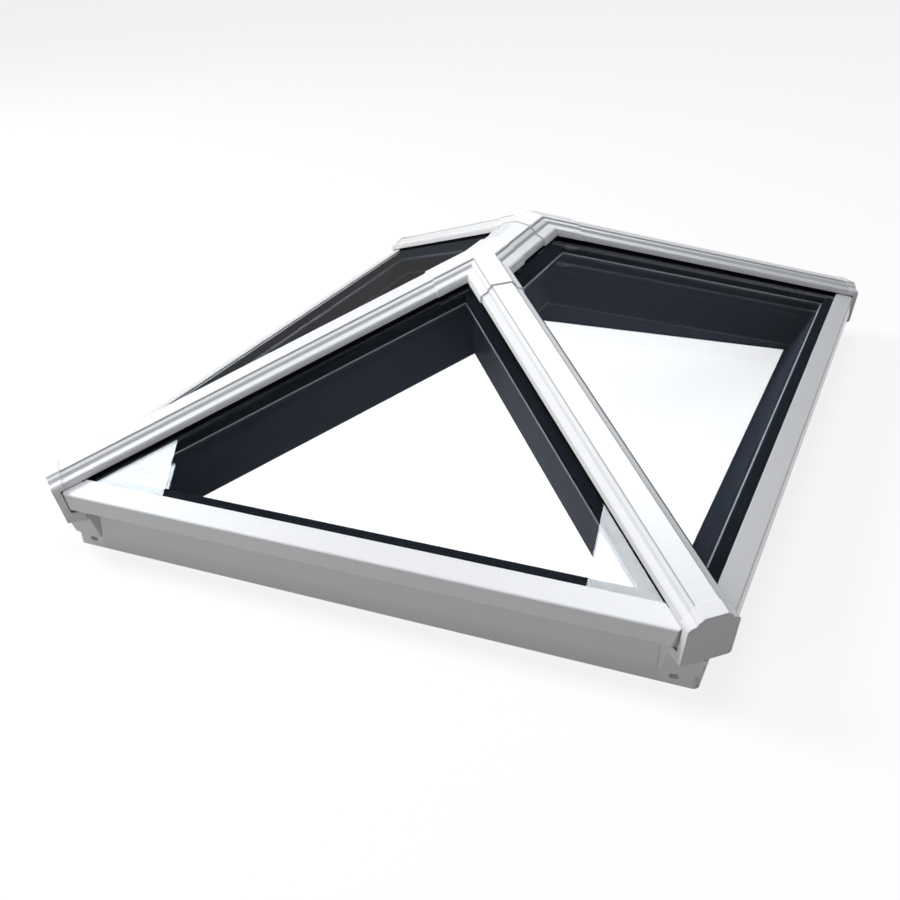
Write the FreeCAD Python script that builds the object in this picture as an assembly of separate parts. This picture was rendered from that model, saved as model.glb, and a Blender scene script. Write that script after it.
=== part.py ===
"""Hipped roof lantern: a rectangular glazed roof on a ring of eaves beams.

Millimetres, +Z up, origin at the centre of the base rectangle. X is across the
lantern and Y is along its ridge. Insets, called d, are measured in plan from the
fold of the eaves. Along a hip, s is the plan distance from the folds' corner,
a is the plan distance across the hip, and h is the height above the hip line.
"""
import FreeCAD, Part
import math
import os

# Overall form
WIDTH = 1000.0
LENGTH = 1213.0
PITCH = math.radians(25.4)
FOLD_HEIGHT = 104.0

# Eaves covers, folded from sheet
COVER_WALL = 2.0
COVER_SLOPE = 28.5
FASCIA_DROP = 25.0
FOLD_RADIUS = 3.5

# Ring beam: an extruded section that sits over a timber kerb
FLANGE_INSET = 32.0
FLANGE_HEIGHT = 24.0
FLANGE_WALL = 4.0
WEB_INSET = 45.0
RING_WIDTH = 81.0
SEAT_WIDTH = 14.0
KERB_WIDTH = 62.0
KERB_DEPTH = 21.0

# Ring corners, with a boss that leans out and a slotted screw hole in each face
CORNER_ARM = 50.0
CORNER_FLANGE = 19.0
CORNER_RADIUS = 8.0
BOSS_STEP = 1.0
BOSS_LEAN = math.radians(14.0)
BOSS_END = 46.0
BOSS_DRAFT = math.radians(13.5)
BOSS_RADIUS = 2.0
SLOT_HALF = 3.5
SLOT_LENGTH = 12.5
SLOT_IN = 29.5
SLOT_HEIGHT = 12.0

# Glass units
SHEET = 4.0
CAVITY = 16.0
GLASS_DROP = 3.0
GLASS_EAVES = 12.0
GLASS_HIP = 16.0
SPACER_IN = 9.0
SPACER_WIDTH = 22.0

# Gaskets above and below the glass
BED = 3.0
BED_WIDTH = 8.0
GASKET_WIDTH = 4.0

# Hip and ridge beams
STEM = 5.0
BEAM = 24.0
BEAM_DEPTH = 142.0
BEAM_RADIUS = 6.0
STEM_END = 46.0

# Cappings: the right half of the section, from the middle of the top to the lip
CAP_TOP = 14.8
CAP_FLAT = 15.7
TOP_RADIUS = 1.2
RISER_FOOT = (17.2, 11.8, 3.0)
BAND_FOOT = (21.4, 9.2, 2.5)
STEP_FOOT = (22.8, 4.6, 2.0)
CAP_LIP = 33.4
LIP_TOP = 0.6
LIP_RADIUS = 5.0
LIP_FOOT = -8.9
CAP_WALL = 2.2

# Boss covers and hip end caps fit over the cappings
OVER_FIT = 0.1
BOSS_WALL = 2.4
END_WALL = 1.3
BOSS_HIP_ARM = 85.0
BOSS_RIDGE_SHARE = 0.272

# Hip end caps: a leaning face with two side walls
FACE_IN = 23.8
FACE_LEAN = math.radians(12.4)
FACE_DROP = 51.5
FACE_WALL = 2.5
COLLAR_END = 38.8
LEG = 11.0
FOOT = 17.0
FOOT_END = 62.0
COVER_GAP = 2.6
CAP_START = 28.0
END_STOCK = 50.0
FACE_RADIUS = 3.0
FOOT_RADIUS = 4.5

# Clearance between pieces that only lie beside each other
GAP = 0.3

RISE = math.tan(PITCH)
HIP_RISE = RISE / math.sqrt(2)
NODE_Y = (LENGTH - WIDTH) / 2
HIP_PLAN = WIDTH / math.sqrt(2)
RIDGE_Z = FOLD_HEIGHT + RISE * WIDTH / 2
UNIT = 2 * SHEET + CAVITY
UPRIGHT_UNIT = UNIT / math.cos(PITCH)
UPRIGHT_BED = BED / math.cos(PITCH)
SEAT_DROP = GLASS_DROP + UPRIGHT_UNIT + UPRIGHT_BED
REACH = WIDTH / 5
FACE_SLOPE = math.tan(FACE_LEAN)
Z_AXIS = FreeCAD.Vector(0, 0, 1)
X_AXIS = FreeCAD.Vector(1, 0, 0)
Y_AXIS = FreeCAD.Vector(0, 1, 0)
ORIGIN = FreeCAD.Vector(0, 0, 0)


def line_cross(p, u, q, v):
    """Point where the line through p along u meets the line through q along v."""
    turn = u[0] * v[1] - u[1] * v[0]
    k = ((q[0] - p[0]) * v[1] - (q[1] - p[1]) * v[0]) / turn
    return (p[0] + k * u[0], p[1] + k * u[1])


def shifted(points, distance):
    """An open outline moved sideways by a distance, to the left as it runs.

    Its rounded corners keep their centres, so the wall between the two is even.
    """
    legs = []
    for (x0, y0, *_), (x1, y1, *_) in zip(points, points[1:]):
        size = math.hypot(x1 - x0, y1 - y0)
        u = ((x1 - x0) / size, (y1 - y0) / size)
        side = (-u[1] * distance, u[0] * distance)
        legs.append(((x0 + side[0], y0 + side[1]), u, (x1 + side[0], y1 + side[1])))
    moved = [legs[0][0]]
    for (p, u, _), (q, v, _), (_, _, *rest) in zip(legs, legs[1:], points[1:]):
        right_turn = u[0] * v[1] - u[1] * v[0] < 0
        radius = rest[0] + (distance if right_turn else -distance) if rest else 0.0
        moved.append((*line_cross(p, u, q, v), max(radius, 0.0)))
    moved.append(legs[-1][2])
    return moved


def rounded_wire(points, place):
    """A closed outline of (u, v) or (u, v, radius) points, set in space by place."""
    count = len(points)
    starts, ends, arcs = [], [], []
    for i, point in enumerate(points):
        corner = place(point[0], point[1])
        before = place(*points[i - 1][:2])
        after = place(*points[(i + 1) % count][:2])
        radius = point[2] if len(point) > 2 else 0.0
        to_before = (before - corner).normalize()
        to_after = (after - corner).normalize()
        if radius == 0.0:
            starts.append(corner)
            ends.append(corner)
            continue
        half = to_before.getAngle(to_after) / 2
        reach = radius / math.tan(half)
        middle = (to_before + to_after).normalize() * (radius / math.sin(half) - radius)
        starts.append(corner + to_before * reach)
        ends.append(corner + to_after * reach)
        arcs.append(Part.Arc(starts[-1], corner + middle, ends[-1]).toShape())
    edges = list(arcs)
    for i in range(count):
        leave = ends[i]
        arrive = starts[(i + 1) % count]
        if leave.distanceToPoint(arrive) > 1e-6:
            edges.append(Part.makeLine(leave, arrive))
    return Part.Wire(Part.__sortEdges__(edges))


def prism(points, place, along):
    """A solid with a flat outline, extruded along a vector."""
    return Part.Face(rounded_wire(points, place)).extrude(along)


def column(points, low=-REACH, high=2 * RIDGE_Z):
    """An upright prism on a plan outline, used to trim other solids."""
    return prism(points, lambda x, y: FreeCAD.Vector(x, y, low), Z_AXIS * (high - low))


def mirrored_x(shape):
    return shape.mirror(ORIGIN, X_AXIS)


def mirrored_y(shape):
    return shape.mirror(ORIGIN, Y_AXIS)


def mirrored_at_hip(shape):
    """A piece of the front eaves mirrored into the right eaves, across their hip."""
    return shape.mirror(FreeCAD.Vector(WIDTH / 2, -LENGTH / 2, 0), X_AXIS + Y_AXIS)


def front_sector():
    """Plan area from the front eaves to the front end of the ridge."""
    half, end = WIDTH / 2 + REACH, -LENGTH / 2 - REACH
    return column([(-half, end), (half, end), (0, -NODE_Y)])


def right_sector():
    """Plan area from the right eaves to the ridge."""
    half, end = WIDTH / 2 + REACH, LENGTH / 2 + REACH
    return column([(half, -end), (half, end), (0, NODE_Y), (0, -NODE_Y)])


def front_profile(points):
    """An eaves section of (d, z) points run along the front, mitred at the hips."""
    start = -WIDTH / 2 - REACH
    place = lambda d, z: FreeCAD.Vector(start, -LENGTH / 2 + d, z)
    return prism(points, place, FreeCAD.Vector(-2 * start, 0, 0)).common(front_sector())


def right_profile(points):
    """An eaves section of (d, z) points run along the right, mitred at the hips."""
    start = -LENGTH / 2 - REACH
    place = lambda d, z: FreeCAD.Vector(WIDTH / 2 - d, start, z)
    return prism(points, place, FreeCAD.Vector(0, -2 * start, 0)).common(right_sector())


def hip_point(s, a, z):
    """Point near the front right hip; a is positive towards the right pane."""
    step = 1 / math.sqrt(2)
    return FreeCAD.Vector(WIDTH / 2 + (a - s) * step, -LENGTH / 2 + (a + s) * step, z)


def hip_z(s):
    return FOLD_HEIGHT + HIP_RISE * s


def hip_profile(points, start, end):
    """A section of (a, h) points, square to the front right hip, run up it."""
    slope = math.atan(HIP_RISE)
    out, up = math.sin(slope) * math.cos(slope), math.cos(slope) ** 2
    place = lambda a, h: hip_point(start - out * h, a, hip_z(start) + up * h)
    along = hip_point(end, 0, hip_z(end)) - hip_point(start, 0, hip_z(start))
    return prism(points, place, along)


def ridge_profile(points, start, end):
    """A section of (x, h) points run along the ridge from y = start to y = end."""
    place = lambda x, h: FreeCAD.Vector(x, start, RIDGE_Z + h)
    return prism(points, place, FreeCAD.Vector(0, end - start, 0))


def hip_side_view(points):
    """A block seen from beside the front right hip, from (s, z) points."""
    place = lambda s, z: hip_point(s, -REACH, z)
    return prism(points, place, hip_point(0, REACH, 0) - hip_point(0, -REACH, 0))


def hip_quarter():
    """Plan area of the front right hip, up to the other hip and the ridge."""
    far = WIDTH + REACH
    return column([(0, -NODE_Y), (0, -far), (far, -far), (far, -NODE_Y)])


def at_ridge(a, h, *radius):
    """Where a point of the hip section lies on the plane that ends the ridge."""
    return (a * math.sqrt(2), h - HIP_RISE * abs(a), *[r * math.sqrt(2) for r in radius])


def with_mirror(right):
    """A closed outline from its right half, which starts at the top."""
    return [(-a, *rest) for a, *rest in reversed(right)] + right


def cap_outline():
    """Outer line of a hip capping, from its left lip over the top to its right lip."""
    return with_mirror([(CAP_FLAT, CAP_TOP, TOP_RADIUS), RISER_FOOT, BAND_FOOT, STEP_FOOT,
                        (CAP_LIP, LIP_TOP, LIP_RADIUS), (CAP_LIP, LIP_FOOT)])


def cap_section(offset, foot):
    """Closed section below an outline beside the capping's, down to a height."""
    outline = shifted(cap_outline(), offset)
    wide = outline[-1][0]
    return [(-wide, foot)] + outline[1:-1] + [(wide, foot)]


def filled_hip(offset, start, extra=0.0):
    """Solid below that outline, up the front right hip to where hips and ridge meet."""
    section = cap_section(offset, LIP_FOOT - extra)
    return hip_profile(section, start, HIP_PLAN + REACH).common(hip_quarter())


def filled_ridge(offset, start, end, extra=0.0):
    """Solid along the ridge, with the section that the hips have where they meet it."""
    section = cap_section(offset, LIP_FOOT - extra)
    half = len(section) // 2
    crest = (0, section[half][1])
    left, right = section[:half], section[half:]
    return ridge_profile([at_ridge(*p) for p in left + [crest] + right], start, end)


def seat_height(d):
    """Top of the ring beam's sloping seat, below the glass and its bed."""
    return FOLD_HEIGHT - SEAT_DROP + RISE * d


def ring_section(flange_height):
    """Eaves section of the ring beam: a flange, and a face that leans in to the soffit."""
    outer = FLANGE_INSET
    inner = FLANGE_INSET + RING_WIDTH
    seat_in = WEB_INSET + SEAT_WIDTH
    channel = outer + FLANGE_WALL
    return [(outer, 0), (outer, flange_height), (WEB_INSET, FOLD_HEIGHT - FASCIA_DROP),
            (WEB_INSET, seat_height(WEB_INSET)), (seat_in, seat_height(seat_in)),
            (inner, 0), (channel + KERB_WIDTH, 0), (channel + KERB_WIDTH, KERB_DEPTH),
            (channel, KERB_DEPTH), (channel, 0)]


def corner_block():
    """Plan square that the front right ring corner takes out of the ring beams."""
    out_x, out_y = WIDTH / 2 - FLANGE_INSET, -LENGTH / 2 + FLANGE_INSET
    in_x, in_y = out_x - CORNER_ARM, out_y + CORNER_ARM
    return column([(in_x, out_y - REACH), (out_x + REACH, out_y - REACH),
                   (out_x + REACH, in_y), (in_x, in_y)])


def ring_beams():
    block = corner_block()
    front = front_profile(ring_section(FLANGE_HEIGHT)).cut(block).cut(mirrored_x(block))
    right = right_profile(ring_section(FLANGE_HEIGHT)).cut(block).cut(mirrored_y(block))
    return front, right


def slot(across_x):
    """Slotted hole through a corner's flange; its long axis is level."""
    reach = SLOT_LENGTH / 2 - SLOT_HALF
    out_x, out_y = WIDTH / 2 - FLANGE_INSET, -LENGTH / 2 + FLANGE_INSET
    if across_x:
        middle = FreeCAD.Vector(out_x - SLOT_IN, out_y, SLOT_HEIGHT)
        level, inward = X_AXIS, Y_AXIS
    else:
        middle = FreeCAD.Vector(out_x, out_y + SLOT_IN, SLOT_HEIGHT)
        level, inward = Y_AXIS, -X_AXIS
    start = middle - inward * FLANGE_WALL
    through = 3 * FLANGE_WALL
    ends = [Part.makeCylinder(SLOT_HALF, through, start + level * side, inward)
            for side in (-reach, reach)]
    corners = [start + level * side + Z_AXIS * up
               for side, up in ((-reach, -SLOT_HALF), (reach, -SLOT_HALF),
                                (reach, SLOT_HALF), (-reach, SLOT_HALF))]
    between = Part.Face(Part.makePolygon(corners + corners[:1])).extrude(inward * through)
    return between.fuse(ends)


def corner_boss():
    """Boss of a ring corner: it leans out above the flange and narrows upwards."""
    low, high = CORNER_FLANGE, FOLD_HEIGHT - FASCIA_DROP - GAP
    foot = FLANGE_INSET - BOSS_STEP
    lean = (high - low) * math.tan(BOSS_LEAN)
    section = [(foot, low, BOSS_RADIUS), (foot - lean, high), (WEB_INSET, high),
               (FLANGE_INSET + FLANGE_WALL / 2, low)]
    end = WIDTH / 2 - FLANGE_INSET - BOSS_END
    draft = (high - low) * math.tan(BOSS_DRAFT)
    place = lambda x, z: FreeCAD.Vector(x, -LENGTH / 2 - REACH, z)
    front_view = prism([(end, low), (end + draft, high), (WIDTH, high), (WIDTH, low)], place,
                       FreeCAD.Vector(0, 2 * REACH, 0))
    front = front_profile(section).common(front_view)
    return front.fuse(mirrored_at_hip(front))


def end_cap_room():
    """Space of a hip end cap's foot, widened by the clearance."""
    low = FOLD_HEIGHT - FACE_DROP - GAP
    room = hip_side_view([(-END_STOCK, low), (FOOT_END + GAP, low),
                          (FOOT_END + GAP, FOLD_HEIGHT), (-END_STOCK, FOLD_HEIGHT)])
    return room.common(end_cap_prism(OVER_FIT + END_WALL + GAP, -FACE_DROP - REACH / 2))


def ring_corner():
    """Moulded corner of the ring: a mitred length of the beam with its boss."""
    block = corner_block()
    section = ring_section(CORNER_FLANGE)
    arms = [front_profile(section).common(block), right_profile(section).common(block)]
    out_x, out_y = WIDTH / 2 - FLANGE_INSET, -LENGTH / 2 + FLANGE_INSET
    envelope = column([(out_x, out_y, CORNER_RADIUS), (out_x, 0), (0, 0), (0, out_y)])
    body = arms[0].fuse(arms[1]).removeSplitter().common(envelope)
    boss = corner_boss().cut(end_cap_room())
    return body.fuse(boss).removeSplitter().cut([slot(True), slot(False)])


def eaves_cover_section():
    """Folded sheet: a slope over the glass edge, a fascia and a soffit to the web."""
    nose = (COVER_SLOPE, FOLD_HEIGHT + RISE * COVER_SLOPE)
    low = FOLD_HEIGHT - FASCIA_DROP
    outer = [nose, (0, FOLD_HEIGHT), (0, low), (WEB_INSET, low)]
    inner = shifted(outer, COVER_WALL)
    outer[1] += (FOLD_RADIUS,)
    outer[2] += (COVER_WALL,)
    inner[1] += (FOLD_RADIUS - COVER_WALL,)
    return outer + list(reversed(inner))


def face_s(z):
    """Distance in from the folds' corner of the end cap's face, at a height."""
    return FACE_IN - FACE_SLOPE * (z - FOLD_HEIGHT)


def eaves_covers():
    """Covers whose corners are cut off behind the hip end caps."""
    back = LEG + COVER_GAP
    low, high = 0.0, 2 * FOLD_HEIGHT
    off = hip_side_view([(-REACH, low), (face_s(low) + back, low),
                         (face_s(high) + back, high), (-REACH, high)])
    section = eaves_cover_section()
    front = front_profile(section).cut(off).cut(mirrored_x(off))
    right = right_profile(section).cut(off).cut(mirrored_y(off))
    return front, right


def ring_envelope(run):
    """Space that the ring beam fills, widened outwards, for trimming the hip beams."""
    inner = FLANGE_INSET + RING_WIDTH
    seat_in = WEB_INSET + SEAT_WIDTH
    return run([(-REACH, seat_height(-REACH)), (seat_in, seat_height(seat_in)),
                (inner, 0), (inner, -REACH), (-REACH, -REACH)])


def beam_half():
    """Right half of the hip beam: a stem between the glass edges, its seat and its side."""
    stem_top = CAP_TOP - CAP_WALL - GAP
    seat = lambda a: -SEAT_DROP - HIP_RISE * a
    return [(STEM, stem_top), (STEM, seat(STEM)), (BEAM, seat(BEAM)),
            (BEAM, -BEAM_DEPTH, BEAM_RADIUS)]


def hip_beam():
    whole = hip_profile(with_mirror(beam_half()), STEM_END, HIP_PLAN + REACH)
    trimmed = whole.common(hip_quarter())
    return trimmed.cut([ring_envelope(front_profile), ring_envelope(right_profile)])


def ridge_beam():
    """Ridge beam, as deep as the lowest edge of the hips that butt against it."""
    *upper, foot = beam_half()
    crest = (0, upper[0][1])
    low = at_ridge(*foot[:2])
    right = [crest] + [at_ridge(a, h) for a, h in upper] + [(*low, BEAM_RADIUS)]
    left = [(-x, *rest) for x, *rest in reversed(right[1:])]
    return ridge_profile(left + right, -NODE_Y, NODE_Y)


def hip_cap():
    hollow = filled_hip(-CAP_WALL, CAP_START - CAP_WALL, CAP_TOP)
    return filled_hip(0, CAP_START).cut(hollow)


def ridge_cap():
    hollow = filled_ridge(-CAP_WALL, -NODE_Y, NODE_Y, CAP_TOP)
    return filled_ridge(0, -NODE_Y, NODE_Y).cut(hollow)


def past(s):
    """Plan area beyond a distance up the front right hip, for a plumb cut."""
    far = HIP_PLAN + REACH
    corners = [hip_point(s, -REACH, 0), hip_point(s, REACH, 0),
               hip_point(far, REACH, 0), hip_point(far, -REACH, 0)]
    return column([(p.x, p.y) for p in corners])


def boss_cover():
    """Three-armed cover over the front meeting of the hips and the ridge."""
    start = HIP_PLAN - BOSS_HIP_ARM
    end = (2 * BOSS_RIDGE_SHARE - 1) * NODE_Y
    arm = filled_hip(OVER_FIT + BOSS_WALL, start - CAP_TOP).common(past(start))
    outer = arm.fuse([mirrored_x(arm), filled_ridge(OVER_FIT + BOSS_WALL, -NODE_Y, end)])
    inner = filled_hip(OVER_FIT, start - 2 * CAP_TOP, CAP_TOP)
    ridge_inner = filled_ridge(OVER_FIT, -NODE_Y, end + CAP_WALL, CAP_TOP)
    return outer.removeSplitter().cut([inner, mirrored_x(inner), ridge_inner])


def end_cap_prism(offset, foot):
    """Prism with an outline beside the capping's, whose sides go straight down."""
    return hip_profile(cap_section(offset, foot), -END_STOCK, REACH)


def rounded_foot(wide, foot_z, top_z):
    """Block across the hip whose two lower edges are rounded."""
    section = [(-wide, foot_z, FOOT_RADIUS), (wide, foot_z, FOOT_RADIUS), (wide, top_z),
               (-wide, top_z)]
    place = lambda a, z: hip_point(-END_STOCK, a, z)
    return prism(section, place, hip_point(REACH, 0, 0) - hip_point(-END_STOCK, 0, 0))


def hip_end_cap():
    """Moulded end of a hip: a leaning face, a collar over the capping, and L walls."""
    foot_z = FOLD_HEIGHT - FACE_DROP
    foot_top = foot_z + FOOT
    top_z = hip_z(COLLAR_END) + 2 * CAP_TOP
    lip_z = hip_z(COLLAR_END) + LIP_FOOT
    side_view = hip_side_view([
        (face_s(foot_z), foot_z), (FOOT_END, foot_z), (FOOT_END, foot_top),
        (face_s(foot_top) + LEG, foot_top, FACE_RADIUS), (face_s(lip_z) + LEG, lip_z),
        (COLLAR_END, lip_z), (COLLAR_END, top_z), (face_s(top_z), top_z)])
    inside = hip_side_view([
        (face_s(-REACH) + FACE_WALL, -REACH), (face_s(top_z) + FACE_WALL, top_z),
        (REACH, top_z), (REACH, -REACH)])
    deep = -FACE_DROP - REACH / 2
    outer = end_cap_prism(OVER_FIT + END_WALL, deep)
    hollow = end_cap_prism(OVER_FIT, deep - END_WALL).common(inside)
    block = rounded_foot(CAP_LIP + OVER_FIT + END_WALL, foot_z, top_z)
    return outer.common(side_view).common(block).cut(hollow)


def pane_point(side, d, along):
    """Point on a pane's outer surface at an inset and a place along its eaves."""
    z = FOLD_HEIGHT - GLASS_DROP + RISE * d
    if side == "front":
        return FreeCAD.Vector(along, -LENGTH / 2 + d, z)
    return FreeCAD.Vector(WIDTH / 2 - d, along, z)


def pane_outline(side, eaves, hip):
    """Corners of a pane; eaves is its lower inset and hip its distance from the hips."""
    slant = hip * math.sqrt(2)
    if side == "front":
        low = WIDTH / 2 - eaves - slant
        return [(eaves, -low), (eaves, low), (WIDTH / 2 - slant, 0)]
    top = WIDTH / 2 - slant
    low = LENGTH / 2 - eaves - slant
    high = LENGTH / 2 - top - slant
    return [(eaves, -low), (eaves, low), (top, high), (top, -high)]


def pane_plate(side, eaves, hip, depth, thickness):
    """A plate parallel to a pane, a depth below its outer surface."""
    corners = [pane_point(side, d, u) for d, u in pane_outline(side, eaves, hip)]
    if side == "front":
        inward = FreeCAD.Vector(0, math.sin(PITCH), -math.cos(PITCH))
    else:
        inward = FreeCAD.Vector(-math.sin(PITCH), 0, -math.cos(PITCH))
    face = Part.Face(Part.makePolygon(corners + corners[:1]))
    face.translate(inward * depth)
    return face.extrude(inward * thickness)


def glass(side):
    """Double glazed unit: an outer and an inner sheet."""
    outer = pane_plate(side, GLASS_EAVES, GLASS_HIP, 0, SHEET)
    inner = pane_plate(side, GLASS_EAVES, GLASS_HIP, SHEET + CAVITY, SHEET)
    return Part.makeCompound([outer, inner])


def spacer(side):
    """Hollow bar between the sheets, set in from their edges."""
    near = SPACER_IN
    far = SPACER_IN + SPACER_WIDTH
    outer = pane_plate(side, GLASS_EAVES + near, GLASS_HIP + near, SHEET, CAVITY)
    inner = pane_plate(side, GLASS_EAVES + far, GLASS_HIP + far, 0, UNIT)
    return outer.cut(inner)


def under_glass(a):
    """Underside of the glass beside a hip, above the hip line."""
    return -GLASS_DROP - UPRIGHT_UNIT - HIP_RISE * a


def gasket_sections():
    """Hip sections of the seal below the capping's lip and of the bed on the beam."""
    wide = CAP_LIP - GAP
    thin = wide - GASKET_WIDTH
    top = lambda a: -GLASS_DROP - HIP_RISE * a
    seal = [(thin, top(thin)), (thin, LIP_FOOT), (wide, LIP_FOOT), (wide, top(wide))]
    inner = BEAM - BED_WIDTH
    bed = [(inner, under_glass(inner) - UPRIGHT_BED), (inner, under_glass(inner)),
           (BEAM, under_glass(BEAM)), (BEAM, under_glass(BEAM) - UPRIGHT_BED)]
    return seal, bed


def eaves_gasket_sections():
    """Eaves sections of the seal below the cover's nose and of the bed on the ring."""
    top = lambda d: FOLD_HEIGHT - GLASS_DROP + RISE * d
    under_cover = lambda d: FOLD_HEIGHT + RISE * d - COVER_WALL / math.cos(PITCH)
    wide = COVER_SLOPE - GAP
    thin = wide - GASKET_WIDTH
    seal = [(thin, top(thin)), (thin, under_cover(thin)), (wide, under_cover(wide)),
            (wide, top(wide))]
    inner = WEB_INSET + SEAT_WIDTH
    low = inner - BED_WIDTH
    bed = [(low, seat_height(low)), (low, seat_height(low) + UPRIGHT_BED),
           (inner, seat_height(inner) + UPRIGHT_BED), (inner, seat_height(inner))]
    return seal, bed


def hip_strip(section, inset):
    """A strip up the front pane's side of the front right hip, from an eaves inset."""
    flipped = [(-a, h) for a, h in section]
    from_eaves = column([(-WIDTH, -LENGTH / 2 + inset), (WIDTH, -LENGTH / 2 + inset),
                         (WIDTH, 0), (-WIDTH, 0)])
    strip = hip_profile(flipped, 0, HIP_PLAN + REACH)
    return strip.common(from_eaves).common(hip_quarter())


def gaskets(side, around):
    """Seal above and bed below one pane, each a frame of strips cut to what is round it."""
    solids = []
    run = front_profile if side == "front" else right_profile
    for k, hip_section in enumerate(gasket_sections()):
        eaves_section = eaves_gasket_sections()[k]
        inset = eaves_section[0][0]
        if side == "front":
            up_hip = hip_strip(hip_section, inset)
            strips = [up_hip, mirrored_x(up_hip)]
            keep = front_sector()
        else:
            from_eaves = column([(0, -LENGTH), (WIDTH / 2 - inset, -LENGTH),
                                 (WIDTH / 2 - inset, LENGTH), (0, LENGTH)])
            up_hip = hip_profile(hip_section, 0, HIP_PLAN + REACH)
            up_hip = up_hip.common(from_eaves).common(hip_quarter())
            ridge_section = [at_ridge(a, h) for a, h in hip_section]
            strips = [up_hip, mirrored_y(up_hip), ridge_profile(ridge_section, -NODE_Y, NODE_Y)]
            keep = right_sector()
        a_in = hip_section[0][0]
        eaves = run(eaves_section).common(keep)
        between = inset_column(side, a_in)
        solids.append(eaves.common(between).fuse(strips).cut(around).removeSplitter())
    return Part.makeCompound(solids)


def inset_column(side, a):
    """Plan area of a pane no nearer to its hips than a."""
    slant = a * math.sqrt(2)
    if side == "front":
        half = WIDTH / 2 - slant
        return column([(-half, -LENGTH / 2), (half, -LENGTH / 2), (0, -NODE_Y - slant)])
    half = LENGTH / 2 - slant
    return column([(WIDTH / 2, -half), (WIDTH / 2, half), (0, NODE_Y - slant),
                   (0, slant - NODE_Y)])


def save(name, shape):
    shape.exportStep("parts/" + name + ".step")


def save_pair(name, first, second, shape, mirrored):
    save(name + "_" + first, shape)
    save(name + "_" + second, mirrored(shape))


def save_corners(name, shape):
    """Front right piece and its three mirror images."""
    left = mirrored_x(shape)
    save(name + "_front_right", shape)
    save(name + "_front_left", left)
    save(name + "_back_right", mirrored_y(shape))
    save(name + "_back_left", mirrored_y(left))


os.makedirs("parts", exist_ok=True)
ring_front, ring_right = ring_beams()
save_pair("ring_beam", "front", "back", ring_front, mirrored_y)
save_pair("ring_beam", "right", "left", ring_right, mirrored_x)
save_corners("ring_corner", ring_corner())
cover_front, cover_right = eaves_covers()
save_pair("eaves_cover", "front", "back", cover_front, mirrored_y)
save_pair("eaves_cover", "right", "left", cover_right, mirrored_x)
save_corners("hip_beam", hip_beam())
save("ridge_beam", ridge_beam())
save_corners("hip_cap", hip_cap())
ridge_capping = ridge_cap()
save("ridge_cap", ridge_capping)
save_pair("boss_cover", "front", "back", boss_cover(), mirrored_y)
save_corners("hip_end_cap", hip_end_cap())
for part_name, maker in (("glass", glass), ("glass_spacer", spacer)):
    save_pair(part_name, "front", "back", maker("front"), mirrored_y)
    save_pair(part_name, "right", "left", maker("right"), mirrored_x)
save_pair("gaskets", "front", "back", gaskets("front", [cover_front]), mirrored_y)
save_pair("gaskets", "right", "left", gaskets("right", [cover_right, ridge_capping]), mirrored_x)
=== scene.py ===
"""The looks of the hipped roof lantern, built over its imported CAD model.

Metres, +Z up, in the part's own frame: X across the lantern, Y along its ridge.
Insets, called d, are measured in plan from the fold of the eaves, and a is the plan
distance from the line of a hip.
"""
import math

import bmesh
import bpy
from mathutils import Matrix, Vector


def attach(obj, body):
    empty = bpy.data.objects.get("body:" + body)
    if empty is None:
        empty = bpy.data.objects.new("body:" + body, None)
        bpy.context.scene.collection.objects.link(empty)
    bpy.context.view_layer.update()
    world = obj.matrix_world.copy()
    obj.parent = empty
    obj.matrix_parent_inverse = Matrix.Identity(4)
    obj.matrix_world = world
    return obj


ENDS = ("front", "back")
SIDES = ("front", "back", "right", "left")
CORNERS = ("front_right", "front_left", "back_right", "back_left")

# Name for each side of a hip, with the sign of a there
HANDS = (("ends", 1), ("sides", -1))

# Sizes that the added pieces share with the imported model
HALF_WIDTH = 0.500
HALF_LENGTH = 0.6065
FOLD_HEIGHT = 0.104
PITCH = math.radians(25.4)
GLASS_DROP = 0.003
SHEET = 0.004
CAVITY = 0.016
SPACER_EAVES = 0.043
SPACER_HIP = 0.047
UNIT_MIDDLE = 0.015
RING_WEB = 0.0455
RING_INNER = 0.113
RING_SEAT_IN = 0.059
RING_SEAT_Z = 0.0728
FACE_IN = 0.0238
FACE_LEAN = math.radians(12.4)

# Section of the spacer bead: out from the bar, and up from the bar's foot
BEAD_SECTION = ((-0.0004, 0.0002), (0.0014, 0.0002), (0.0018, 0.0010), (0.0014, 0.0022),
                (-0.0004, 0.0022))

# Section of the ring's trim: height, and how proud it is of the sloping face
TRIM_SECTION = ((0.0005, -0.001), (0.0005, 0.0004), (0.022, 0.0016), (0.025, 0.0016),
                (0.0265, 0.0004), (0.0265, -0.001))

# Webs of the end caps: distances behind the leaning face and up the hip, heights, and a
WEB_START = 0.004
WEB_DEPTH = 0.022
WEB_REACH = 0.0605
WEB_Z = (0.0555, 0.1005)
WEB_FOOT_Z = 0.0785
WEB_WALL = (0.0290, 0.0305)

# Plates in the ends of the eaves covers: distances behind the leaning face, heights, a
COVER_END = (0.0142, 0.0152)
COVER_END_Z = (0.0812, 0.1015)
COVER_END_IN = 0.026
COVER_SKIN = 0.0032

# Radius that shading gives the edges of the coated pieces
EDGE_RADIUS = 0.0006

# Upward parts of the face normals that pick out the facets for second materials
RISER_LEAN = (0.38, 0.52)
LINING_LEAN = 0.3
UPRIGHT_LEAN = 0.1

# Noise of the coatings over object space: scale, detail, roughness
SPECKLE = (420.0, 5.0, 0.75)
SHEEN = (60.0, 3.0, 0.6)
GRAIN = (650.0, 3.0, 0.6)
SPECKLE_STOPS = (0.35, 0.65)
SHEEN_SPREAD = 0.06
GRAIN_STRENGTH = 0.35

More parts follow.
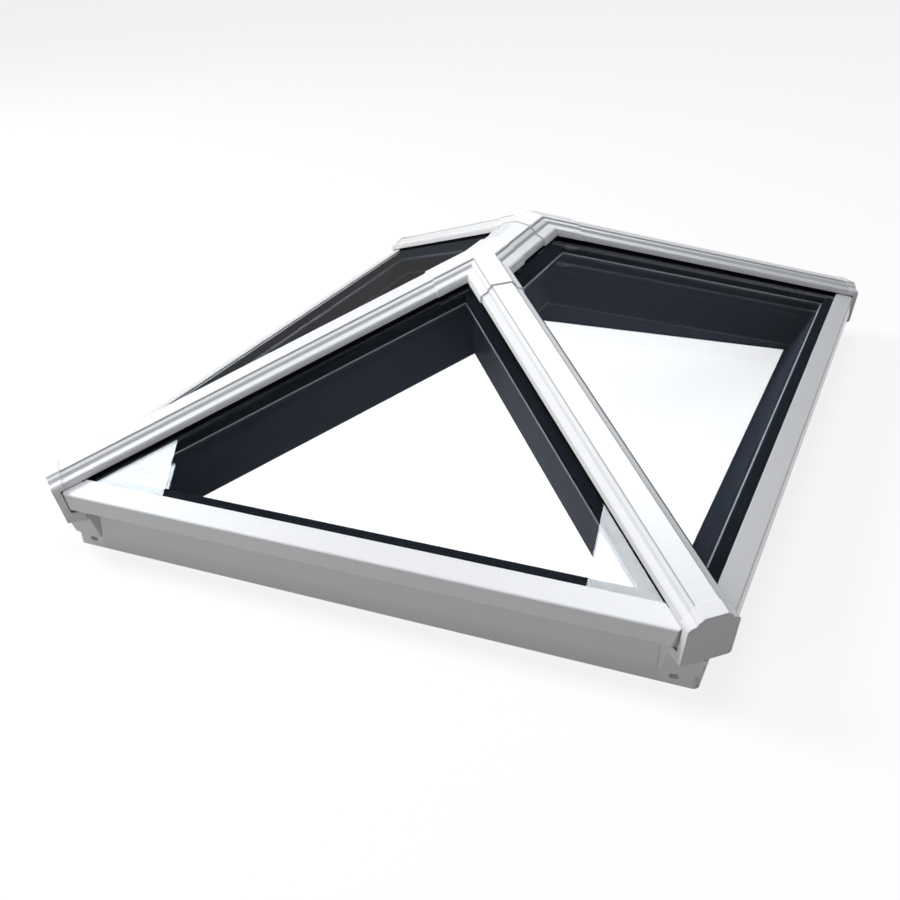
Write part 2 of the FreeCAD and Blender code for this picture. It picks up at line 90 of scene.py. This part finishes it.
# Finishes: two colours of the speckle, roughness, depth of the grain, specular level
FINISHES = {
    "white_coating": ((0.775, 0.778, 0.785), (0.83, 0.832, 0.838), 0.40, 0.0003, 0.5),
    "fascia": ((0.775, 0.778, 0.785), (0.83, 0.832, 0.838), 0.18, 0.0001, 0.5),
    "white_moulding": ((0.83, 0.832, 0.838), (0.86, 0.862, 0.867), 0.46, 0.0001, 0.5),
    # Grey of the cappings' upper risers: painted shade of their small steps
    "riser_painted_shade": ((0.42, 0.425, 0.435), (0.48, 0.485, 0.495), 0.5, 0.0001, 0.5),
    # Grey of the end caps' inner webs: painted shade of the recess behind the covers' ends
    "end_web": ((0.52, 0.52, 0.53), (0.58, 0.58, 0.59), 0.5, 0.0001, 0.5),
    # Lighter than the white coating: painted light on the covers' end plates, which sit in deep
    # shade
    "cover_end": ((0.84, 0.84, 0.85), (0.88, 0.88, 0.89), 0.5, 0.0001, 0.5),
    "dark_coating": ((0.040, 0.045, 0.058), (0.051, 0.057, 0.074), 0.50, 0.0001, 0.2),
    "ring_lining": ((0.030, 0.034, 0.045), (0.038, 0.043, 0.056), 0.6, 0.0001, 0.0),
    "ring_trim": ((0.014, 0.016, 0.020), (0.022, 0.025, 0.030), 0.5, 0.0001, 0.0),
    "gasket": ((0.005, 0.005, 0.006), (0.009, 0.009, 0.010), 0.6, 0.0001, 0.0),
    "gasket_bed": ((0.030, 0.033, 0.043), (0.038, 0.042, 0.055), 0.6, 0.0001, 0.0),
    "spacer": ((0.009, 0.011, 0.015), (0.014, 0.017, 0.022), 0.5, 0.0001, 0.0),
    "spacer_bead": ((0.26, 0.28, 0.30), (0.33, 0.35, 0.37), 0.5, 0.0001, 0.0),
}

GLASS_TINT = (0.980, 0.985, 0.992)
GLASS_SHADOW = (0.88, 0.90, 0.92)
GLASS_INDEX = 1.5

# Camera, fitted to the photograph
CAMERA_PLACE = Vector((0.66077, -1.64143, 0.88803))
CAMERA_AZIMUTH = math.radians(25.35)
CAMERA_DIP = math.radians(27.70)
CAMERA_ROLL = math.radians(-2.56)
CAMERA_LENS = 44.89
CAMERA_SENSOR = 36.0

# Floor: its grey for bounced light, its grey in shadow, and its glow to the eye and in glass
FLOOR_SIZE = 40.0
FLOOR_BOUNCE = (0.18, 0.18, 0.18)
FLOOR_SHADED = (0.8, 0.8, 0.82)
FLOOR_ROUGHNESS = 0.9
FLOOR_GLOW = 1.05
PANE_GLOW = 1.6
SHADOW_SHARE = 0.2

# Glowing grey strip under the ring, painted shade of the ring's hollow: insets of its edges,
# height, glow
SHADE_RUN = (0.040, 0.108)
SHADE_LIFT = 0.0004
SHADE_GLOW = 0.14

WHITE = (1.0, 1.0, 1.0)
BLACK = (0.0, 0.0, 0.0)
FILL_COLOUR = (0.96, 0.97, 1.0)
FILL_STRENGTH = 0.22

# Lamps: place, point aimed at, watts, colour
LAMP_SIZE = 1.6
LAMPS = {
    "key": ((-3.63, -0.34, 2.95), (0, 0, 0.15), 167.0, (1.0, 0.995, 0.985)),
    "overhead": ((0.0, -0.4, 4.2), (0, 0, 0.15), 67.0, (0.92, 0.95, 1.0)),
    "front": ((-1.6, -4.0, 1.2), (0, 0, 0.1), 27.0, WHITE),
}

# Level cards: range across, range along, height, colour, strength
CARD_HEIGHT = 3.1
CEILING_HEIGHT = CARD_HEIGHT + 0.05
DARK_CARD = (0.75, 0.85, 1.0)
LEVEL_CARDS = {
    "ceiling_card": ((-9, 9), (-9, 7), CEILING_HEIGHT, DARK_CARD, 0.03),
    "left_window": ((-3.66, -2.46), (-1.1, 0.35), CARD_HEIGHT, (0.88, 0.95, 1.0), 11.5),
    "right_window": ((-0.43, 0.47), (-0.8, 0.25), CARD_HEIGHT, (0.92, 0.96, 1.0), 8.2),
    "rear_window": ((-1.0, 1.6), (1.3, 3.6), CARD_HEIGHT, (0.96, 0.98, 1.0), 18.0),
}

# Wall behind the lantern: range across, place along
WALL_RUN = (-9, 9)
WALL_PLACE = 7
WALL_GLOW = 0.03

# Low card along the lantern's left side: place across, range along, heights of its ends
LOW_PLACE = -0.58
LOW_RUN = (-0.8, 2.4)
LOW_TOPS = (0.12, 0.45)
LOW_COLOUR = (1.0, 0.97, 0.98)
LOW_GLOW = 0.05

# Card beside the far left hip: run up the hip, distance out from its line, height
FLAG_RUN = (0.03, 0.70)
FLAG_OUT = 0.0360
FLAG_HEIGHT = 0.034
FLAG_GLOW = 0.06


def new_material(name):
    """A material with an empty Principled shader; returns the material and the shader."""
    material = bpy.data.materials.new(name)
    material.use_nodes = True
    return material, material.node_tree.nodes["Principled BSDF"]


def add_node(material, kind, **values):
    """A node whose inputs are set by name, with underscores for spaces."""
    node = material.node_tree.nodes.new(kind)
    for name, value in values.items():
        node.inputs[name.replace("_", " ")].default_value = value
    return node


def link(material, source, target):
    material.node_tree.links.new(source, target)


def surface_of(material):
    """The input that takes a material's finished shader."""
    return material.node_tree.nodes["Material Output"].inputs["Surface"]


def noise(material, scale, detail, roughness):
    """Noise over object space; returns its value output."""
    place = add_node(material, "ShaderNodeTexCoord")
    node = add_node(material, "ShaderNodeTexNoise", Scale=scale, Detail=detail,
                    Roughness=roughness)
    link(material, place.outputs["Object"], node.inputs["Vector"])
    return node.outputs["Fac"]


def between(material, fac, colours):
    """A colour between two, by a value that noise keeps near one half."""
    ramp = add_node(material, "ShaderNodeValToRGB")
    for stop, position, colour in zip(ramp.color_ramp.elements, SPECKLE_STOPS, colours):
        stop.position = position
        stop.color = (*colour, 1)
    link(material, fac, ramp.inputs["Fac"])
    return ramp.outputs["Color"]


def add_bump(material, shader, height, distance):
    """Bump of a depth in metres over softened edges."""
    soft = add_node(material, "ShaderNodeBevel", Radius=EDGE_RADIUS)
    bump = add_node(material, "ShaderNodeBump", Strength=GRAIN_STRENGTH, Distance=distance)
    link(material, soft.outputs["Normal"], bump.inputs["Normal"])
    link(material, height, bump.inputs["Height"])
    link(material, bump.outputs["Normal"], shader.inputs["Normal"])


def finish(name):
    """Powder coat, moulding or rubber: speckle between two near colours, over a fine grain."""
    low, high, roughness, peel, gloss = FINISHES[name]
    material, shader = new_material(name)
    shader.inputs["Specular IOR Level"].default_value = gloss
    speckle = between(material, noise(material, *SPECKLE), (low, high))
    link(material, speckle, shader.inputs["Base Color"])
    matt = add_node(material, "ShaderNodeMapRange", To_Min=roughness - SHEEN_SPREAD,
                    To_Max=roughness + SHEEN_SPREAD)
    link(material, noise(material, *SHEEN), matt.inputs["Value"])
    link(material, matt.outputs["Result"], shader.inputs["Roughness"])
    add_bump(material, shader, noise(material, *GRAIN), peel)
    return material


def glass_material():
    """Clear glass with a faint tint, which lets the lamps' light through."""
    material, shader = new_material("glass")
    shader.inputs["Base Color"].default_value = (*GLASS_TINT, 1)
    shader.inputs["Transmission Weight"].default_value = 1.0
    shader.inputs["Roughness"].default_value = 0.0
    shader.inputs["IOR"].default_value = GLASS_INDEX
    clear = add_node(material, "ShaderNodeBsdfTransparent", Color=(*GLASS_SHADOW, 1))
    path = add_node(material, "ShaderNodeLightPath")
    mix = add_node(material, "ShaderNodeMixShader")
    link(material, path.outputs["Is Shadow Ray"], mix.inputs["Fac"])
    link(material, shader.outputs["BSDF"], mix.inputs[1])
    link(material, clear.outputs["BSDF"], mix.inputs[2])
    link(material, mix.outputs["Shader"], surface_of(material))
    return material


def named(prefix, places):
    return [prefix + "_" + place for place in places]


def paint(nodes, names, material):
    for name in names:
        mesh = nodes[name].data
        mesh.materials.clear()
        mesh.materials.append(material)


def repaint(mesh, material, chosen):
    """Second material on the faces that a test chooses."""
    mesh.materials.append(material)
    for polygon in mesh.polygons:
        if chosen(polygon):
            polygon.material_index = 1


def is_upper_riser(polygon):
    """Whether a face is one of the upper risers of the cappings' steps."""
    return RISER_LEAN[0] < polygon.normal.z < RISER_LEAN[1]


def is_lining(polygon):
    """Whether a face is of the ring's seat or of its sloping inner face."""
    place = polygon.center
    inset = min(HALF_WIDTH - abs(place.x), HALF_LENGTH - abs(place.y))
    return polygon.normal.z > LINING_LEAN and inset > RING_WEB


def is_upright(polygon):
    return abs(polygon.normal.z) < UPRIGHT_LEAN


def under_end_pane(polygon):
    """Whether a face at the front or back is below the middle of the glass."""
    return under_middle(polygon.center.z, HALF_LENGTH - abs(polygon.center.y))


def under_side_pane(polygon):
    """Whether a face at the right or left is below the middle of the glass."""
    return under_middle(polygon.center.z, HALF_WIDTH - abs(polygon.center.x))


def under_middle(z, d):
    """Whether a height is below the middle of the glass, at an inset."""
    return z < FOLD_HEIGHT - UNIT_MIDDLE + math.tan(PITCH) * d


def paint_steps(nodes, names):
    """Flat facets in place of blended normals, and painted shade in grey along the upper risers.
    """
    # Painted shade: a grey finish on the upper risers of the steps
    riser_shade = finish("riser_painted_shade")
    for name in names:
        mesh = nodes[name].data
        mesh.attributes.remove(mesh.attributes["custom_normal"])
        mesh.shade_flat()
        repaint(mesh, riser_shade, is_upper_riser)


def paint_frame(nodes):
    """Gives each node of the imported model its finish."""
    covers = named("eaves_cover", SIDES)
    caps = named("hip_cap", CORNERS) + ["ridge_cap"]
    bosses = named("boss_cover", ENDS)
    beams = named("ring_beam", SIDES)
    ring_corners = named("ring_corner", CORNERS)
    paint(nodes, covers + caps + beams, finish("white_coating"))
    paint(nodes, bosses + named("hip_end_cap", CORNERS) + ring_corners, finish("white_moulding"))
    paint(nodes, named("hip_beam", CORNERS) + ["ridge_beam"], finish("dark_coating"))
    paint(nodes, named("gaskets", SIDES), finish("gasket"))
    paint(nodes, named("glass_spacer", SIDES), finish("spacer"))
    paint(nodes, named("glass", SIDES), glass_material())
    paint_steps(nodes, caps + bosses)
    fascia = finish("fascia")
    lining = finish("ring_lining")
    bed = finish("gasket_bed")
    for name in covers:
        repaint(nodes[name].data, fascia, is_upright)
    for name in beams + ring_corners:
        repaint(nodes[name].data, lining, is_lining)
    for side in SIDES:
        under_pane = under_end_pane if side in ENDS else under_side_pane
        repaint(nodes["gaskets_" + side].data, bed, under_pane)


def pane_loop(side, eaves, hip, depth):
    """Corners of a loop parallel to a pane, a depth below its outer surface."""
    slant = hip * math.sqrt(2)
    rise = math.tan(PITCH)
    if side in ENDS:
        low = HALF_WIDTH - eaves - slant
        corners = [(eaves, -low), (eaves, low), (HALF_WIDTH - slant, 0)]
    else:
        top = HALF_WIDTH - slant
        low = HALF_LENGTH - eaves - slant
        high = HALF_LENGTH - top - slant
        corners = [(eaves, -low), (eaves, low), (top, high), (top, -high)]
    points = []
    for d, along in corners:
        d_in = d + depth * math.sin(PITCH)
        z = FOLD_HEIGHT - GLASS_DROP + rise * d - depth * math.cos(PITCH)
        if side in ENDS:
            across = HALF_LENGTH - d_in
            points.append((along, across if side == "back" else -across, z))
        else:
            across = HALF_WIDTH - d_in
            points.append((across if side == "right" else -across, along, z))
    return points


def ring_loop(d, z):
    """Corners of a level loop round the lantern, at an inset and a height."""
    x, y = HALF_WIDTH - d, HALF_LENGTH - d
    return [(-x, -y, z), (x, -y, z), (x, y, z), (-x, y, z)]


def hip_place(corner, s, a, z):
    """Point near a hip: s up it in plan, a across it towards the front or back pane."""
    step = 1 / math.sqrt(2)
    x, y = HALF_WIDTH - (s + a) * step, HALF_LENGTH - (s - a) * step
    return (x if "right" in corner else -x, -y if "front" in corner else y, z)


def pane_height(across):
    """Height of a pane's surface near a hip, at a plan distance across and up it."""
    return FOLD_HEIGHT - GLASS_DROP + math.tan(PITCH) * across / math.sqrt(2)


def face_inset(z):
    """Distance up the hip of an end cap's leaning face, at a height."""
    return FACE_IN - math.tan(FACE_LEAN) * (z - FOLD_HEIGHT)


def add_piece(name, vertices, faces, material):
    """A piece of the part, with its mesh's faces turned outwards."""
    mesh = bpy.data.meshes.new(name)
    mesh.from_pydata(vertices, [], faces)
    shape = bmesh.new()
    shape.from_mesh(mesh)
    bmesh.ops.recalc_face_normals(shape, faces=shape.faces)
    shape.to_mesh(mesh)
    shape.free()
    mesh.materials.append(material)
    piece = bpy.data.objects.new(name, mesh)
    bpy.context.collection.objects.link(piece)
    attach(piece, "root")


def add_loop_frame(name, loops, material):
    """A closed frame through loops of matching corners."""
    count = len(loops[0])
    vertices = [point for loop in loops for point in loop]
    faces = []
    for i in range(len(loops)):
        j = (i + 1) % len(loops)
        for k in range(count):
            n = (k + 1) % count
            faces.append((i * count + k, i * count + n, j * count + n, j * count + k))
    add_piece(name, vertices, faces, material)


def add_plate(name, loops, material):
    """A plate between two matching outlines."""
    count = len(loops[0])
    faces = [list(range(count)), list(range(2 * count - 1, count - 1, -1))]
    for k in range(count):
        n = (k + 1) % count
        faces.append([k, n, count + n, count + k])
    add_piece(name, loops[0] + loops[1], faces, material)


def add_spacer_beads():
    """Light bead along the foot of each spacer's inner face, as seen through the glass."""
    silver = finish("spacer_bead")
    foot = SHEET + CAVITY
    for side in SIDES:
        loops = [pane_loop(side, SPACER_EAVES + out, SPACER_HIP + out, foot - up)
                 for out, up in BEAD_SECTION]
        add_loop_frame("spacer_bead_" + side, loops, silver)


def add_ring_trim():
    """Stepped strip along the foot of the ring's sloping inner face."""
    slope = (RING_INNER - RING_SEAT_IN) / RING_SEAT_Z
    loops = [ring_loop(RING_INNER - slope * z + proud, z) for z, proud in TRIM_SECTION]
    add_loop_frame("ring_trim", loops, finish("ring_trim"))


def add_end_webs():
    """Inner webs of the hip end caps, set back behind the gap beside the covers' ends. Their
    grey, darker than the white moulding, is painted shade of that recess.
    """
    web_painted_shade = finish("end_web")
    bottom, top = WEB_Z
    outline = [(face_inset(bottom) + WEB_START, bottom), (WEB_REACH, bottom),
               (WEB_REACH, WEB_FOOT_Z), (face_inset(WEB_FOOT_Z) + WEB_DEPTH, WEB_FOOT_Z),
               (face_inset(top) + WEB_DEPTH, top), (face_inset(top) + WEB_START, top)]
    for corner in CORNERS:
        for side, hand in HANDS:
            loops = [[hip_place(corner, s, hand * a, z) for s, z in outline] for a in WEB_WALL]
            add_plate("end_web_" + side + "_" + corner, loops, web_painted_shade)


def cover_end_outline(back):
    """Outline of a cover's end plate, a distance behind the end cap's leaning face."""
    low_z, high_z = COVER_END_Z
    low = face_inset(low_z) + back
    high = face_inset(high_z) + back
    return [(low, COVER_END_IN, low_z), (low, low - COVER_SKIN, low_z),
            (high, high - COVER_SKIN, high_z), (high, COVER_END_IN, high_z)]


def add_cover_ends():
    """Plates that close the hollow ends of the eaves covers, beside the hip end caps. Their
    finish, lighter than the covers' white, is painted light in the deep shade there.
    """
    plate = finish("cover_end")
    outlines = [cover_end_outline(back) for back in COVER_END]
    for corner in CORNERS:
        for side, hand in HANDS:
            loops = [[hip_place(corner, s, hand * a, z) for s, a, z in outline]
                     for outline in outlines]
            add_plate("cover_end_" + side + "_" + corner, loops, plate)


def stage_mesh(name, vertices, faces, material):
    """A mesh of the studio, which is no piece of the part."""
    mesh = bpy.data.meshes.new(name)
    mesh.from_pydata(vertices, [], faces)
    mesh.materials.append(material)
    item = bpy.data.objects.new(name, mesh)
    bpy.context.collection.objects.link(item)
    return item


def show_white(owner, plain, white, target):
    """Sends the white shader to the rays that see the background, the plain one to the rest."""
    path = add_node(owner, "ShaderNodeLightPath")
    total = path.outputs["Is Camera Ray"]
    for name in ("Is Glossy Ray", "Is Transmission Ray"):
        either = add_node(owner, "ShaderNodeMath")
        either.operation = "MAXIMUM"
        link(owner, total, either.inputs[0])
        link(owner, path.outputs[name], either.inputs[1])
        total = either.outputs[0]
    mix = add_node(owner, "ShaderNodeMixShader")
    link(owner, total, mix.inputs["Fac"])
    link(owner, plain, mix.inputs[1])
    link(owner, white, mix.inputs[2])
    link(owner, mix.outputs["Shader"], target)


def floor_material():
    """White to the eye and through glass, with a share of the shadow, and dim to the rest."""
    material, shader = new_material("floor")
    shader.inputs["Base Color"].default_value = (*FLOOR_BOUNCE, 1)
    shader.inputs["Roughness"].default_value = FLOOR_ROUGHNESS
    shaded = add_node(material, "ShaderNodeBsdfDiffuse", Color=(*FLOOR_SHADED, 1))
    glow = add_node(material, "ShaderNodeEmission", Color=(*WHITE, 1))
    level = add_node(material, "ShaderNodeMapRange", To_Min=FLOOR_GLOW, To_Max=PANE_GLOW)
    path = add_node(material, "ShaderNodeLightPath")
    link(material, path.outputs["Is Transmission Ray"], level.inputs["Value"])
    link(material, level.outputs["Result"], glow.inputs["Strength"])
    keep = add_node(material, "ShaderNodeMixShader", Fac=SHADOW_SHARE)
    link(material, glow.outputs["Emission"], keep.inputs[1])
    link(material, shaded.outputs["BSDF"], keep.inputs[2])
    show_white(material, shader.outputs["BSDF"], keep.outputs["Shader"], surface_of(material))
    return material


def add_floor():
    half = FLOOR_SIZE / 2
    corners = [(-half, -half, 0), (half, -half, 0), (half, half, 0), (-half, half, 0)]
    floor = stage_mesh("floor", corners, [(0, 1, 2, 3)], floor_material())


def add_kerb_shade():
    """Glowing grey strip on the floor under the ring, painted shade of the ring's hollow, which
    only the screw slots let show.
    """
    material, shader = new_material("kerb_shade")
    shader.inputs["Base Color"].default_value = (*BLACK, 1)
    shader.inputs["Specular IOR Level"].default_value = 0.0
    shader.inputs["Emission Color"].default_value = (*WHITE, 1)
    shader.inputs["Emission Strength"].default_value = SHADE_GLOW
    outer, inner = [ring_loop(d, SHADE_LIFT) for d in SHADE_RUN]
    count = len(outer)
    faces = [(k, (k + 1) % count, count + (k + 1) % count, count + k) for k in range(count)]
    shade = stage_mesh("kerb_shade", outer + inner, faces, material)


def add_world():
    """Dim fill light, behind a background that shows white."""
    world = bpy.data.worlds.new("studio")
    world.use_nodes = True
    fill = world.node_tree.nodes["Background"]
    fill.inputs["Color"].default_value = (*FILL_COLOUR, 1)
    fill.inputs["Strength"].default_value = FILL_STRENGTH
    white = add_node(world, "ShaderNodeBackground", Color=(*WHITE, 1))
    show_white(world, fill.outputs["Background"], white.outputs["Background"],
               world.node_tree.nodes["World Output"].inputs["Surface"])
    bpy.context.scene.world = world


def add_card(name, corners, colour, strength):
    """A studio card that only reflections show."""
    material = bpy.data.materials.new(name)
    material.use_nodes = True
    material.node_tree.nodes.clear()
    glow = add_node(material, "ShaderNodeEmission", Color=(*colour, 1), Strength=strength)
    end = add_node(material, "ShaderNodeOutputMaterial")
    link(material, glow.outputs["Emission"], end.inputs["Surface"])
    card = stage_mesh(name, corners, [(0, 1, 2, 3)], material)
    card.visible_camera = False
    card.visible_diffuse = False
    card.visible_shadow = False


def add_level_cards():
    """Dark ceiling for the panes to mirror, with bright windows in it."""
    for name, ((x0, x1), (y0, y1), z, colour, strength) in LEVEL_CARDS.items():
        corners = [(x0, y0, z), (x1, y0, z), (x1, y1, z), (x0, y1, z)]
        add_card(name, corners, colour, strength)


def add_wall_card():
    left, right = WALL_RUN
    corners = [(left, WALL_PLACE, 0), (right, WALL_PLACE, 0), (right, WALL_PLACE, CEILING_HEIGHT),
               (left, WALL_PLACE, CEILING_HEIGHT)]
    add_card("wall_card", corners, DARK_CARD, WALL_GLOW)


def add_low_card():
    """Dark card, lower at its front end so that the front pane still mirrors a window."""
    near, far = LOW_RUN
    near_top, far_top = LOW_TOPS
    corners = [(LOW_PLACE, near, 0), (LOW_PLACE, far, 0), (LOW_PLACE, far, far_top),
               (LOW_PLACE, near, near_top)]
    add_card("low_card", corners, LOW_COLOUR, LOW_GLOW)


def add_hip_card():
    """Dark card over the far left pane, which mirrors it beside the hip."""
    low, high = [hip_place("back_left", s, -FLAG_OUT, pane_height(s - FLAG_OUT))
                 for s in FLAG_RUN]
    corners = [low, high, (high[0], high[1], high[2] + FLAG_HEIGHT),
               (low[0], low[1], low[2] + FLAG_HEIGHT)]
    add_card("hip_card", corners, DARK_CARD, FLAG_GLOW)


def add_lamp(name, place, aim, watts, colour):
    """A soft square lamp, which no reflection shows."""
    light = bpy.data.lights.new(name, "AREA")
    light.shape = "SQUARE"
    light.size = LAMP_SIZE
    light.energy = watts
    light.color = colour
    lamp = bpy.data.objects.new(name, light)
    lamp.location = place
    lamp.rotation_euler = (Vector(aim) - Vector(place)).to_track_quat("-Z", "Y").to_euler()
    lamp.visible_glossy = False
    lamp.visible_transmission = False
    bpy.context.collection.objects.link(lamp)


def add_lamps():
    for name, values in LAMPS.items():
        add_lamp(name, *values)


def add_camera():
    camera = bpy.data.cameras.new("camera")
    camera.sensor_width = CAMERA_SENSOR
    camera.lens = CAMERA_LENS
    holder = bpy.data.objects.new("camera", camera)
    turn = (Matrix.Rotation(CAMERA_AZIMUTH, 4, "Z")
            @ Matrix.Rotation(math.pi / 2 - CAMERA_DIP, 4, "X")
            @ Matrix.Rotation(CAMERA_ROLL, 4, "Z"))
    holder.matrix_world = Matrix.Translation(CAMERA_PLACE) @ turn
    bpy.context.collection.objects.link(holder)
    bpy.context.scene.camera = holder


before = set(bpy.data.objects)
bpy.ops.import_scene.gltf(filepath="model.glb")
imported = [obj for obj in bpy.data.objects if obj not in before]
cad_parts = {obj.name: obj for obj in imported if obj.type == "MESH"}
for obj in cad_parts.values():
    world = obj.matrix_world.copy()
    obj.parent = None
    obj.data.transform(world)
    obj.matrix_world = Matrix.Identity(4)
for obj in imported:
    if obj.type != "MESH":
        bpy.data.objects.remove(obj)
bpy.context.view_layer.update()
paint_frame(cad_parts)
add_spacer_beads()
add_ring_trim()
add_end_webs()
add_cover_ends()
add_floor()
add_kerb_shade()
add_world()
add_level_cards()
add_wall_card()
add_low_card()
add_hip_card()
add_lamps()
add_camera()
bpy.context.scene.view_settings.view_transform = "Standard"
